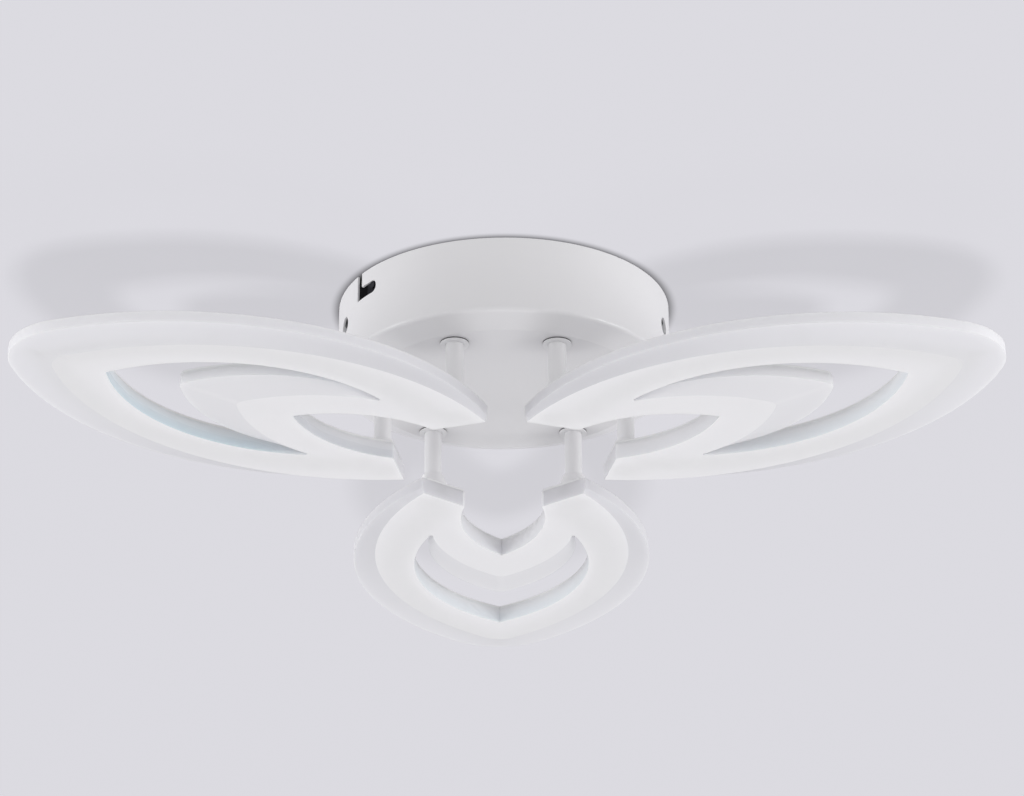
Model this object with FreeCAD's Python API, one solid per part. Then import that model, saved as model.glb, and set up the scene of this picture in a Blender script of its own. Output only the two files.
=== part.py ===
import FreeCAD, Part
import math
import os

# Ceiling light with three leaf-shaped light plates, called petals here.
# Millimetres. The origin is on the ceiling plane at the middle of the canopy, +Z is up,
# so the lamp hangs below zero. The room side that faces a viewer is -Y.

# Canopy: a deep-drawn pan, open towards the ceiling
CANOPY_RADIUS = 95.0
CANOPY_WALL_HEIGHT = 44.0
CANOPY_DISH = 5.5
CANOPY_FLAT_MARGIN = 0.7
CANOPY_SHEET = 1.2
CANOPY_EDGE_ROUND = 2.5
SIDE_HOLE_DIAMETER = 10.0
SIDE_HOLE_DROP = 22.5
SIDE_HOLE_ANGLES = (18.0, 162.0, 198.0, 342.0)

# Bayonet between the bracket's studs and the canopy wall
BAYONET_ANGLE = 218.0
BAYONET_TRAVEL = 7.5
STUD_DIAMETER = 4.0
STUD_HEAD_DIAMETER = 8.0
STUD_HEAD_HEIGHT = 2.6
STUD_CLEARANCE = 0.3
SLOT_LEG_DROP = 8.5
SLOT_LEG_HEIGHT = 7.4
SLOT_ENTRY_WIDTH = 4.8
STUD_RECESS = 0.3

# Ceiling bracket
BRACKET_WIDTH = 24.0
BRACKET_THICKNESS = 2.0
BRACKET_EAR_GAP = 4.8
BRACKET_EAR_HEIGHT = 18.0
BRACKET_BOLT_CIRCLE = 60.0
BRACKET_BOLT_HOLE = 5.0
BRACKET_SLOT_SPACING = 116.0
BRACKET_SLOT_LENGTH = 22.0
BRACKET_SLOT_WIDTH = 5.0
BRACKET_WIRE_HOLE = 14.0
LOCKNUT_HEIGHT = 3.0
LOCKNUT_ACROSS_FLATS = 7.0

# Petal levels
PETAL_DROP = 96.0
PETAL_THICKNESS = 11.0
PLATE_THICKNESS = 1.5
PLATE_INSET = 0.6
PLATE_SIDE_INSET = 4.0
BEVEL_RISE = 3.5

# Petal outlines: u runs outward along the petal's axis, v across it.
# The root is where the outline starts, at the end of the petal's arm.
ROOT_STATION = 37.9
ROOT_OFFSET = 46.0
OUTLINE_REACH = 300.0
OUTLINE_HALF_WIDTH = 89.6
OUTLINE_TIP_ROUND = 40.0
BEVEL_AT_TIP = 23.0
BEVEL_AT_WAIST = 13.4
BEVEL_AT_ROOT = 1.2
FLAT_TIP_ROUND = 14.0
BAND_AT_TIP = 53.0
BAND_AT_WAIST = 36.8
HORN_STATION = 104.0
HORN_OFFSET = 43.0
HORN_GAP = 1.6
CRESCENT_OPENING = 43.0
LEAF_HALF_WIDTH = 44.0
LEAF_TIP_ROUND = 6.0
LEAF_BEVEL_AT_TIP = 34.0
LEAF_FLAT_STATION = 91.0
NOTCH_REACH = 135.0
NOTCH_TAPER = 57.0
NOTCH_HALF_WIDTH = 24.7
ARM_CUT_ANGLE = 40.0
ARM_END_MARGIN = 9.6

# Light source inside a petal
BOARD_EDGE_GAP = 25.0
CHANNEL_WIDTH = 14.0
CHANNEL_DEPTH = 6.0
CHANNEL_START = 68.0
BOARD_WIDTH = 10.0
BOARD_THICKNESS = 1.2
BOARD_START = 71.0
CHIP_LENGTH = 3.0
CHIP_WIDTH = 2.8
CHIP_HEIGHT = 0.8
CHIPS_PER_SIDE = 12
CONNECTOR_LENGTH = 6.0
CONNECTOR_WIDTH = 5.0
CONNECTOR_HEIGHT = 3.6
CONNECTOR_CLEARANCE = 0.4

# Plate screws
SCREW_DIAMETER = 3.0
SCREW_HEAD_DIAMETER = 6.0
SCREW_LENGTH = 7.0
SCREW_CLEARANCE = 0.1
SCREW_DRIVE_LENGTH = 3.4
SCREW_DRIVE_WIDTH = 0.8
SCREW_DRIVE_DEPTH = 0.9
SCREW_EDGE_GAP = 12.0
TIP_SCREW_EDGE_GAP = 11.0
SCREW_STATIONS = (150.0, 215.0)
LEAF_SCREW_GAP = 20.0
ARM_SCREW_STATION = 110.0
ARM_SCREW_OFFSET = 30.0

# Posts
POST_DIAMETER = 10.0
POST_BORE = 6.0
POST_STATION = 56.5
POST_OFFSET = 41.0
POST_CLEARANCE = 0.1
POST_STUB = 9.0
COLLAR_DIAMETER = 16.0
COLLAR_HEIGHT = 1.5
FOOT_DIAMETER = 18.0
FOOT_TOP_DIAMETER = 12.4
FOOT_HEIGHT = 7.0
FOOT_FLOOR = 2.5
FOOT_SCREW_DIAMETER = 2.0
FOOT_SCREW_HEAD = 3.6
FOOT_SCREW_HEAD_HEIGHT = 1.2
FOOT_SCREW_DEPTH = 2.0
FOOT_SCREW_CIRCLE = 12.4
POST_POCKET_DIAMETER = 16.6
LEAD_HOLE_DIAMETER = 8.0
WASHER_DIAMETER = 19.0
WASHER_THICKNESS = 1.2
POST_NUT_ACROSS_FLATS = 16.0
POST_NUT_HEIGHT = 4.0

# Driver and terminals on the canopy's floor
DRIVER_LENGTH = 100.0
DRIVER_WIDTH = 52.0
DRIVER_BASE_HEIGHT = 8.0
DRIVER_COVER_HEIGHT = 19.0
DRIVER_WALL = 1.8
DRIVER_ROUND = 3.0
DRIVER_PLACE_Y = -10.0
DRIVER_TAB_LENGTH = 8.5
DRIVER_TAB_WIDTH = 11.0
DRIVER_TAB_THICKNESS = 2.0
DRIVER_TAB_OFFSET = 30.0
DRIVER_STUD_DIAMETER = 3.0
DRIVER_STUD_LENGTH = 6.5
DRIVER_NUT_ACROSS_FLATS = 5.5
DRIVER_NUT_HEIGHT = 2.4
BLOCK_LENGTH = 21.0
BLOCK_WIDTH = 15.0
BLOCK_HEIGHT = 14.0
BLOCK_GAP = 4.0
BLOCK_PLACE_Y = -28.0
BLOCK_POLES = 3
BLOCK_SCREW_DIAMETER = 3.4
BLOCK_SCREW_DEPTH = 3.0
EARTH_OFFSET_X = 21.5
EARTH_OFFSET_Y = -18.0
EARTH_STUD_DIAMETER = 4.0
EARTH_STUD_LENGTH = 6.5
EARTH_NUT_ACROSS_FLATS = 7.0
EARTH_NUT_HEIGHT = 3.2
EARTH_TAG_DIAMETER = 10.0
EARTH_TAG_THICKNESS = 0.8
EARTH_BARREL_DIAMETER = 3.6
EARTH_BARREL_LENGTH = 6.0

# Wires
WIRE_DIAMETER = 2.2
WIRE_BEND_SHARE = 0.45
MAINS_ELBOW_Y = -7.0

# Sizes and places that follow from the sizes above
FLAT_REACH = OUTLINE_REACH - BEVEL_AT_TIP
FLAT_HALF_WIDTH = OUTLINE_HALF_WIDTH - BEVEL_AT_WAIST
CRESCENT_REACH = OUTLINE_REACH - BAND_AT_TIP
CRESCENT_HALF_WIDTH = OUTLINE_HALF_WIDTH - BAND_AT_WAIST
LEAF_REACH = CRESCENT_REACH - CRESCENT_OPENING
LEAF_FLAT_REACH = LEAF_REACH - LEAF_BEVEL_AT_TIP
POST_CIRCLE_RADIUS = math.hypot(POST_STATION, POST_OFFSET)
CANOPY_FLAT_RADIUS = POST_CIRCLE_RADIUS + WASHER_DIAMETER / 2 + CANOPY_FLAT_MARGIN
CANOPY_HEIGHT = CANOPY_WALL_HEIGHT + CANOPY_DISH
FLOOR_Z = CANOPY_SHEET - CANOPY_HEIGHT
PLATE_TOP = PETAL_THICKNESS - PETAL_DROP
PLATE_BOTTOM = PLATE_TOP - PLATE_THICKNESS
BEVEL_TOP = BEVEL_RISE - PETAL_DROP
LENS_BOTTOM = -PETAL_DROP
BOARD_BOTTOM = PLATE_BOTTOM - BOARD_THICKNESS
POST_BOTTOM = PLATE_TOP + FOOT_FLOOR
POST_TOP = FLOOR_Z + POST_STUB
STUD_Z = -SLOT_LEG_DROP - STUD_CLEARANCE - STUD_DIAMETER / 2
EAR_OUTER_RADIUS = CANOPY_RADIUS - CANOPY_SHEET - BRACKET_EAR_GAP
EAR_INNER_RADIUS = EAR_OUTER_RADIUS - BRACKET_THICKNESS
LEAD_Z = BOARD_BOTTOM - CONNECTOR_HEIGHT / 2
CONNECTOR_START = BOARD_START + CONNECTOR_LENGTH / 2
BLOCK_X = -(DRIVER_LENGTH + BLOCK_WIDTH) / 2 - BLOCK_GAP
BLOCK_PLACE = (BLOCK_X, BLOCK_PLACE_Y)
EARTH_PLACE = (BLOCK_X + EARTH_OFFSET_X, BLOCK_PLACE_Y + EARTH_OFFSET_Y)

PETALS = {"far": 90.0, "left": 210.0, "right": 330.0}
POST_NAMES = {
    ("far", 1): "far_left",
    ("far", -1): "far_right",
    ("left", 1): "left_front",
    ("left", -1): "left_back",
    ("right", 1): "right_back",
    ("right", -1): "right_front",
}
FEED_SIDE = {"far": -1, "left": -1, "right": 1}

Z_AXIS = FreeCAD.Vector(0, 0, 1)
ORIGIN = FreeCAD.Vector(0, 0, 0)


def vector(x, y, z):
    return FreeCAD.Vector(x, y, z)


def turned(shape, angle):
    copy = shape.copy()
    copy.rotate(ORIGIN, Z_AXIS, angle)
    return copy


def moved(shape, x, y, z):
    copy = shape.copy()
    copy.translate(vector(x, y, z))
    return copy


def box(x0, x1, y0, y1, z0, z1):
    return Part.makeBox(x1 - x0, y1 - y0, z1 - z0, vector(x0, y0, z0))


def rod(x, y, z0, z1, diameter):
    return Part.makeCylinder(diameter / 2, z1 - z0, vector(x, y, z0), Z_AXIS)


def radial_rod(r0, r1, z, diameter):
    return Part.makeCylinder(diameter / 2, r1 - r0, vector(r0, 0, z), vector(1, 0, 0))


def hexagon(x, y, z0, height, across_flats):
    corner = across_flats / math.sqrt(3)
    points = []
    for step in range(7):
        angle = math.radians(60 * step)
        points.append(vector(x + corner * math.cos(angle), y + corner * math.sin(angle), z0))
    face = Part.Face(Part.makePolygon(points))
    return face.extrude(vector(0, 0, height))


def prism(wire, height):
    return Part.Face(wire).extrude(vector(0, 0, height))


def save(name, shapes):
    shape = shapes if isinstance(shapes, Part.Shape) else Part.makeCompound(shapes)
    shape.exportStep("parts/" + name + ".step")


# Petal curves. A side of an outline is one arc, held as its centre (u, v) and radius.

def ogive(root, half_width, reach, tip_round=0.0):
    """The arc from a root point, out to a half width and in to a tip of the given round."""
    rise = half_width - root[1]
    tip_centre = reach - tip_round
    share = rise / (half_width - tip_round)
    spread = tip_centre ** 2 + half_width ** 2 - tip_round ** 2
    a = 1 - share
    b = 2 * (share * tip_centre - root[0])
    c = root[0] ** 2 + rise ** 2 - share * spread
    station = (math.sqrt(b ** 2 - 4 * a * c) - b) / (2 * a)
    run = tip_centre - station
    radius = (run ** 2 + half_width ** 2 - tip_round ** 2) / (2 * (half_width - tip_round))
    return (station, half_width - radius, radius)


def tapered(reach, taper, point):
    """The arc through a point that narrows to a sharp tip over the length of the taper."""
    centre_u = reach - taper
    across = (point[0] - centre_u) ** 2 + point[1] ** 2 - taper ** 2
    centre_v = across / (2 * point[1])
    return (centre_u, centre_v, math.hypot(taper, centre_v))


def grown(arc, by):
    return (arc[0], arc[1], arc[2] + by)


def offset_at(arc, u):
    """How far from the axis the arc is at u."""
    return arc[1] + math.sqrt(arc[2] ** 2 - (u - arc[0]) ** 2)


def tip_of(arc):
    return arc[0] + math.sqrt(arc[2] ** 2 - arc[1] ** 2)


def arm_point(arc, inset=0.0):
    """Where the arc meets the straight cut at the end of a petal's arm."""
    along = math.radians(ARM_CUT_ANGLE)
    normal = (math.cos(along), math.sin(along))
    to_post = (POST_STATION - arc[0], POST_OFFSET - arc[1])
    reach = to_post[0] * normal[0] + to_post[1] * normal[1] - ARM_END_MARGIN + inset
    half = math.sqrt(arc[2] ** 2 - reach ** 2)
    return (
        arc[0] + reach * normal[0] - half * normal[1],
        arc[1] + reach * normal[1] + half * normal[0],
    )


def rounded_tip(arc, tip_round):
    """The point where the side ends and the round begins, and the round's furthest point."""
    if tip_round == 0.0:
        return (tip_of(arc), 0.0), (tip_of(arc), 0.0)
    inner = arc[2] - tip_round
    centre = arc[0] + math.sqrt(inner ** 2 - arc[1] ** 2)
    scale = arc[2] / inner
    side_end = (arc[0] + (centre - arc[0]) * scale, arc[1] - arc[1] * scale)
    return side_end, (centre + tip_round, 0.0)


def mirrored(point):
    return (point[0], -point[1])


def flipped(arc):
    return (arc[0], -arc[1], arc[2])


def line_edge(p, q, z):
    return Part.LineSegment(vector(p[0], p[1], z), vector(q[0], q[1], z)).toShape()


def three_point_edge(p, m, q, z):
    points = [vector(a[0], a[1], z) for a in (p, m, q)]
    return Part.Arc(*points).toShape()


def side_edge(arc, p, q, z):
    middle = ((p[0] + q[0]) / 2 - arc[0], (p[1] + q[1]) / 2 - arc[1])
    scale = arc[2] / math.hypot(*middle)
    bulge = (arc[0] + middle[0] * scale, arc[1] + middle[1] * scale)
    return three_point_edge(p, bulge, q, z)


def tip_edges(arc, tip_round, start, end, z):
    """From the start on the upper side, round the tip, to the end on the lower side."""
    side_end, furthest = rounded_tip(arc, tip_round)
    edges = [side_edge(arc, start, side_end, z)]
    if tip_round > 0.0:
        edges.append(three_point_edge(side_end, furthest, mirrored(side_end), z))
    edges.append(side_edge(flipped(arc), mirrored(side_end), end, z))
    return edges


OUTLINE_ROOT = (ROOT_STATION, ROOT_OFFSET)
FLAT_ROOT = (ROOT_STATION, ROOT_OFFSET - BEVEL_AT_ROOT)
HORN_OUTER = (HORN_STATION, HORN_OFFSET)
HORN_INNER = (HORN_STATION, HORN_OFFSET - HORN_GAP)
NOTCH_WAIST = (NOTCH_REACH - NOTCH_TAPER, NOTCH_HALF_WIDTH)
OUTLINE = ogive(OUTLINE_ROOT, OUTLINE_HALF_WIDTH, OUTLINE_REACH, OUTLINE_TIP_ROUND)
FLAT = ogive(FLAT_ROOT, FLAT_HALF_WIDTH, FLAT_REACH, FLAT_TIP_ROUND)
CRESCENT = ogive(HORN_OUTER, CRESCENT_HALF_WIDTH, CRESCENT_REACH)
NOTCH = tapered(NOTCH_REACH, NOTCH_TAPER, NOTCH_WAIST)
LEAF = ogive(HORN_INNER, LEAF_HALF_WIDTH, LEAF_REACH)
LEAF_FLAT = tapered(LEAF_FLAT_REACH, LEAF_FLAT_REACH - LEAF_FLAT_STATION, HORN_INNER)
BOARD_LINE = grown(OUTLINE, -BOARD_EDGE_GAP)
SCREW_LINE = grown(OUTLINE, -SCREW_EDGE_GAP)
CONNECTOR_OFFSET = offset_at(BOARD_LINE, CONNECTOR_START)
LEAD_RUN = (CONNECTOR_START - POST_STATION, CONNECTOR_OFFSET - POST_OFFSET)
LEAD_TURN = math.degrees(math.atan2(LEAD_RUN[1], LEAD_RUN[0]))


def petal_wire(outer, tip_round, z, inset=0.0, side_inset=0.0):
    """A whole petal's outline with its notch, without the crescent opening."""
    side = grown(outer, -side_inset)
    notch = grown(NOTCH, inset)
    arm_outer = arm_point(side, inset)
    arm_inner = arm_point(notch, inset)
    notch_tip = (tip_of(notch), 0.0)
    edges = [line_edge(arm_inner, arm_outer, z)]
    edges += tip_edges(side, tip_round - side_inset, arm_outer, mirrored(arm_outer), z)
    edges.append(line_edge(mirrored(arm_outer), mirrored(arm_inner), z))
    edges.append(side_edge(flipped(notch), mirrored(arm_inner), notch_tip, z))
    edges.append(side_edge(notch, notch_tip, arm_inner, z))
    return Part.Wire(edges)


def crescent_wire(z, grow=0.0):
    outer = grown(CRESCENT, grow)
    inner = grown(LEAF, -grow)
    start = HORN_STATION - grow
    horn_outer = (start, offset_at(outer, start))
    horn_inner = (start, offset_at(inner, start))
    edges = tip_edges(outer, 0.0, horn_outer, mirrored(horn_outer), z)
    edges.append(line_edge(mirrored(horn_outer), mirrored(horn_inner), z))
    back = tip_edges(inner, LEAF_TIP_ROUND - grow, horn_inner, mirrored(horn_inner), z)
    edges += back
    edges.append(line_edge(horn_inner, horn_outer, z))
    return Part.Wire(Part.__sortEdges__(edges))


def leaf_wire(arc, tip_round, z):
    """The inner leaf, closed by a straight line between the crescent's horns."""
    edges = tip_edges(arc, tip_round, HORN_INNER, mirrored(HORN_INNER), z)
    edges.append(line_edge(mirrored(HORN_INNER), HORN_INNER, z))
    return Part.Wire(edges)


def leaf_zone_wire(z):
    """The inner leaf and the crescent together."""
    edges = tip_edges(CRESCENT, 0.0, HORN_OUTER, mirrored(HORN_OUTER), z)
    edges.append(line_edge(mirrored(HORN_OUTER), HORN_OUTER, z))
    return Part.Wire(edges)


def notch_wire(z):
    """The pointed notch at a petal's inner end, closed by a straight line."""
    arm_inner = arm_point(NOTCH)
    notch_tip = (tip_of(NOTCH), 0.0)
    edges = [line_edge(arm_inner, mirrored(arm_inner), z)]
    edges.append(side_edge(flipped(NOTCH), mirrored(arm_inner), notch_tip, z))
    edges.append(side_edge(NOTCH, notch_tip, arm_inner, z))
    return Part.Wire(edges)


def horseshoe(width, start, z0, z1):
    """A strip of the given width along the board's line, open towards the lamp's middle."""
    outer = grown(BOARD_LINE, width / 2)
    inner = grown(BOARD_LINE, -width / 2)
    end_outer = (start, offset_at(outer, start))
    end_inner = (start, offset_at(inner, start))
    edges = tip_edges(outer, 0.0, end_outer, mirrored(end_outer), z0)
    edges.append(line_edge(mirrored(end_outer), mirrored(end_inner), z0))
    edges += tip_edges(inner, 0.0, end_inner, mirrored(end_inner), z0)
    edges.append(line_edge(end_inner, end_outer, z0))
    return prism(Part.Wire(Part.__sortEdges__(edges)), z1 - z0)


def screw_places():
    places = [(OUTLINE_REACH - TIP_SCREW_EDGE_GAP, 0.0), (NOTCH_REACH + LEAF_SCREW_GAP, 0.0)]
    for side in (1, -1):
        for station in SCREW_STATIONS:
            places.append((station, side * offset_at(SCREW_LINE, station)))
        places.append((ARM_SCREW_STATION, side * ARM_SCREW_OFFSET))
    return places


def foot_screw_places(side):
    half = FOOT_SCREW_CIRCLE / 2
    return [(POST_STATION, side * POST_OFFSET + half), (POST_STATION, side * POST_OFFSET - half)]


def plate_screw(u, v):
    head_radius = SCREW_HEAD_DIAMETER / 2
    shank_radius = SCREW_DIAMETER / 2
    sink = vector(u, v, PLATE_TOP)
    head = Part.makeCone(head_radius, shank_radius, PLATE_THICKNESS, sink, vector(0, 0, -1))
    shank = rod(u, v, PLATE_TOP - SCREW_LENGTH, PLATE_BOTTOM, SCREW_DIAMETER)
    long = SCREW_DRIVE_LENGTH / 2
    short = SCREW_DRIVE_WIDTH / 2
    floor = PLATE_TOP - SCREW_DRIVE_DEPTH
    drive = [
        box(u - long, u + long, v - short, v + short, floor, PLATE_TOP),
        box(u - short, u + short, v - long, v + long, floor, PLATE_TOP),
    ]
    return head.fuse(shank).removeSplitter().cut(drive)


def plate_screw_hole(u, v):
    head_radius = SCREW_HEAD_DIAMETER / 2 + SCREW_CLEARANCE
    shank_radius = SCREW_DIAMETER / 2 + SCREW_CLEARANCE
    sink = vector(u, v, PLATE_TOP)
    return Part.makeCone(head_radius, shank_radius, PLATE_THICKNESS, sink, vector(0, 0, -1))


def back_plate():
    insets = (PLATE_INSET, PLATE_SIDE_INSET)
    plate = prism(petal_wire(OUTLINE, OUTLINE_TIP_ROUND, PLATE_BOTTOM, *insets), PLATE_THICKNESS)
    cuts = [prism(crescent_wire(PLATE_BOTTOM, PLATE_INSET), PLATE_THICKNESS)]
    for u, v in screw_places():
        cuts.append(plate_screw_hole(u, v))
    for side in (1, -1):
        v = side * POST_OFFSET
        cuts.append(rod(POST_STATION, v, PLATE_BOTTOM, PLATE_TOP, LEAD_HOLE_DIAMETER))
        for u, v in foot_screw_places(side):
            hole = FOOT_SCREW_DIAMETER + 2 * SCREW_CLEARANCE
            cuts.append(rod(u, v, PLATE_BOTTOM, PLATE_TOP, hole))
    return plate.cut(cuts)


def lens():
    upper = prism(petal_wire(OUTLINE, OUTLINE_TIP_ROUND, BEVEL_TOP), PLATE_BOTTOM - BEVEL_TOP)
    upper = upper.cut(prism(crescent_wire(BEVEL_TOP), PLATE_BOTTOM - BEVEL_TOP))
    rim = petal_wire(OUTLINE, OUTLINE_TIP_ROUND, BEVEL_TOP)
    flat = petal_wire(FLAT, FLAT_TIP_ROUND, LENS_BOTTOM)
    band = Part.makeLoft([rim, flat], True, True)
    band = band.cut(prism(leaf_zone_wire(LENS_BOTTOM), BEVEL_RISE))
    leaf_rim = leaf_wire(LEAF, LEAF_TIP_ROUND, BEVEL_TOP)
    leaf_flat = leaf_wire(LEAF_FLAT, LEAF_TIP_ROUND, LENS_BOTTOM)
    leaf = Part.makeLoft([leaf_rim, leaf_flat], True, True)
    leaf = leaf.cut(prism(notch_wire(LENS_BOTTOM), BEVEL_RISE))
    body = upper.fuse([band, leaf]).removeSplitter()
    channel_floor = PLATE_BOTTOM - CHANNEL_DEPTH
    cuts = [horseshoe(CHANNEL_WIDTH, CHANNEL_START, channel_floor, PLATE_BOTTOM)]
    for side in (1, -1):
        v = side * POST_OFFSET
        cuts.append(rod(POST_STATION, v, channel_floor, PLATE_BOTTOM, POST_POCKET_DIAMETER))
        half_way = CONNECTOR_WIDTH / 2 + CONNECTOR_CLEARANCE
        way_end = math.hypot(*LEAD_RUN) + CONNECTOR_LENGTH + CONNECTOR_CLEARANCE
        way = box(0, way_end, -half_way, half_way, channel_floor, PLATE_BOTTOM)
        cuts.append(moved(turned(way, side * LEAD_TURN), POST_STATION, v, 0))
    hole = SCREW_DIAMETER + 2 * SCREW_CLEARANCE
    hole_end = PLATE_TOP - SCREW_LENGTH - SCREW_CLEARANCE
    for u, v in screw_places():
        cuts.append(rod(u, v, hole_end, PLATE_BOTTOM, hole))
    return body.cut(cuts)


def led_chips():
    """Chips along the middle of the board, evenly spaced by angle on each side."""
    start = offset_at(BOARD_LINE, CONNECTOR_START + CONNECTOR_LENGTH) - BOARD_LINE[1]
    first = math.atan2(start, CONNECTOR_START + CONNECTOR_LENGTH - BOARD_LINE[0])
    last = math.atan2(-BOARD_LINE[1], tip_of(BOARD_LINE) - BOARD_LINE[0])
    chips = []
    for step in range(CHIPS_PER_SIDE):
        angle = first + (last - first) * (step + 0.7) / (CHIPS_PER_SIDE + 0.4)
        chip = box(-CHIP_WIDTH / 2, CHIP_WIDTH / 2, -CHIP_LENGTH / 2, CHIP_LENGTH / 2, 0, CHIP_HEIGHT)
        chip = turned(chip, math.degrees(angle))
        u = BOARD_LINE[0] + BOARD_LINE[2] * math.cos(angle)
        v = BOARD_LINE[1] + BOARD_LINE[2] * math.sin(angle)
        chip = moved(chip, u, v, BOARD_BOTTOM - CHIP_HEIGHT)
        chips.append(chip)
        chips.append(chip.mirror(ORIGIN, vector(0, 1, 0)))
    return chips


def connector(side):
    """A plug on the board that faces the lead from the post."""
    half = CONNECTOR_WIDTH / 2
    plug = box(0, CONNECTOR_LENGTH, -half, half, BOARD_BOTTOM - CONNECTOR_HEIGHT, BOARD_BOTTOM)
    return moved(turned(plug, side * LEAD_TURN), CONNECTOR_START, side * CONNECTOR_OFFSET, 0)


# Posts

def post(side):
    v = side * POST_OFFSET
    tube = rod(POST_STATION, v, POST_BOTTOM, POST_TOP, POST_DIAMETER)
    return tube.cut(rod(POST_STATION, v, POST_BOTTOM, POST_TOP, POST_BORE))


def collar(side):
    v = side * POST_OFFSET
    ring = rod(POST_STATION, v, -CANOPY_HEIGHT - COLLAR_HEIGHT, -CANOPY_HEIGHT, COLLAR_DIAMETER)
    bore = POST_DIAMETER + 2 * POST_CLEARANCE
    return ring.cut(rod(POST_STATION, v, -CANOPY_HEIGHT - COLLAR_HEIGHT, -CANOPY_HEIGHT, bore))


def foot(side):
    v = side * POST_OFFSET
    base = vector(POST_STATION, v, PLATE_TOP)
    cone = Part.makeCone(FOOT_DIAMETER / 2, FOOT_TOP_DIAMETER / 2, FOOT_HEIGHT, base, Z_AXIS)
    socket = POST_DIAMETER + 2 * POST_CLEARANCE
    cuts = [rod(POST_STATION, v, POST_BOTTOM, PLATE_TOP + FOOT_HEIGHT, socket)]
    cuts.append(rod(POST_STATION, v, PLATE_TOP, POST_BOTTOM, POST_BORE))
    hole = FOOT_SCREW_DIAMETER + 2 * SCREW_CLEARANCE
    for u, w in foot_screw_places(side):
        cuts.append(rod(u, w, PLATE_TOP, PLATE_TOP + FOOT_SCREW_DEPTH + SCREW_CLEARANCE, hole))
    return cone.cut(cuts)


def foot_screw(u, v):
    shank = rod(u, v, PLATE_BOTTOM, PLATE_TOP + FOOT_SCREW_DEPTH, FOOT_SCREW_DIAMETER)
    head = rod(u, v, PLATE_BOTTOM - FOOT_SCREW_HEAD_HEIGHT, PLATE_BOTTOM, FOOT_SCREW_HEAD)
    return shank.fuse(head).removeSplitter()


def post_washer(side):
    v = side * POST_OFFSET
    ring = rod(POST_STATION, v, FLOOR_Z, FLOOR_Z + WASHER_THICKNESS, WASHER_DIAMETER)
    bore = POST_DIAMETER + 2 * POST_CLEARANCE
    return ring.cut(rod(POST_STATION, v, FLOOR_Z, FLOOR_Z + WASHER_THICKNESS, bore))


def post_nut(side):
    v = side * POST_OFFSET
    seat = FLOOR_Z + WASHER_THICKNESS
    nut = hexagon(POST_STATION, v, seat, POST_NUT_HEIGHT, POST_NUT_ACROSS_FLATS)
    bore = POST_DIAMETER + 2 * POST_CLEARANCE
    return nut.cut(rod(POST_STATION, v, seat, seat + POST_NUT_HEIGHT, bore))


def post_place(petal, side):
    angle = math.radians(PETALS[petal])
    u = POST_STATION
    v = side * POST_OFFSET
    return (u * math.cos(angle) - v * math.sin(angle), u * math.sin(angle) + v * math.cos(angle))


# Canopy and bracket

def bayonet_slot():
    """One L-shaped slot, cut for a stud that stands on +X when the lamp is locked."""
    inner = CANOPY_RADIUS - 3 * CANOPY_SHEET
    outer = CANOPY_RADIUS + CANOPY_SHEET
    leg_z = -SLOT_LEG_DROP - SLOT_LEG_HEIGHT / 2
    leg_length = 2 * CANOPY_RADIUS * math.sin(math.radians(BAYONET_TRAVEL / 2))
    half_leg = leg_length / 2
    half_height = SLOT_LEG_HEIGHT / 2
    leg = box(inner, outer, -half_leg, half_leg, leg_z - half_height, leg_z + half_height)
    leg = turned(leg, -BAYONET_TRAVEL / 2)
    end = radial_rod(inner, outer, leg_z, SLOT_LEG_HEIGHT)
    half_entry = SLOT_ENTRY_WIDTH / 2
    entry = box(inner, outer, -half_entry, half_entry, leg_z - half_height, CANOPY_SHEET)
    entry = turned(entry, -BAYONET_TRAVEL)
    return leg.fuse([end, entry])


def canopy():
    outer_bottom = -CANOPY_HEIGHT
    wall = CANOPY_RADIUS - CANOPY_SHEET
    profile = [
        (0, outer_bottom),
        (CANOPY_FLAT_RADIUS, outer_bottom),
        (CANOPY_RADIUS, -CANOPY_WALL_HEIGHT),
        (CANOPY_RADIUS, 0),
        (wall, 0),
        (wall, CANOPY_SHEET - CANOPY_WALL_HEIGHT),
        (CANOPY_FLAT_RADIUS, FLOOR_Z),
        (0, FLOOR_Z),
        (0, outer_bottom),
    ]
    face = Part.Face(Part.makePolygon([vector(r, 0, z) for r, z in profile]))
    pan = face.revolve(ORIGIN, Z_AXIS, 360)
    rims = []
    for edge in pan.Edges:
        if not isinstance(edge.Curve, Part.Circle):
            continue
        if abs(edge.Curve.Radius - CANOPY_RADIUS) < 0.01 and edge.CenterOfMass.z < -CANOPY_SHEET:
            rims.append(edge)
    pan = pan.makeFillet(CANOPY_EDGE_ROUND, rims)
    cuts = []
    slot = bayonet_slot()
    for half_turn in (0, 180):
        cuts.append(turned(slot, BAYONET_ANGLE + half_turn))
    past_wall = CANOPY_RADIUS + CANOPY_SHEET
    hole = radial_rod(wall - CANOPY_SHEET, past_wall, -SIDE_HOLE_DROP, SIDE_HOLE_DIAMETER)
    for angle in SIDE_HOLE_ANGLES:
        cuts.append(turned(hole, angle))
    for petal, side in POST_NAMES:
        x, y = post_place(petal, side)
        cuts.append(rod(x, y, outer_bottom, FLOOR_Z, POST_DIAMETER + 2 * POST_CLEARANCE))
    return pan.cut(cuts).fuse(canopy_studs())


def canopy_studs():
    """Short threaded studs welded to the floor, for the driver and the earth tag."""
    sunk = FLOOR_Z - CANOPY_SHEET / 2
    studs = []
    for x, y in driver_stud_places():
        studs.append(rod(x, y, sunk, FLOOR_Z + DRIVER_STUD_LENGTH, DRIVER_STUD_DIAMETER))
    x, y = EARTH_PLACE
    studs.append(rod(x, y, sunk, FLOOR_Z + EARTH_STUD_LENGTH, EARTH_STUD_DIAMETER))
    return studs


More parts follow.
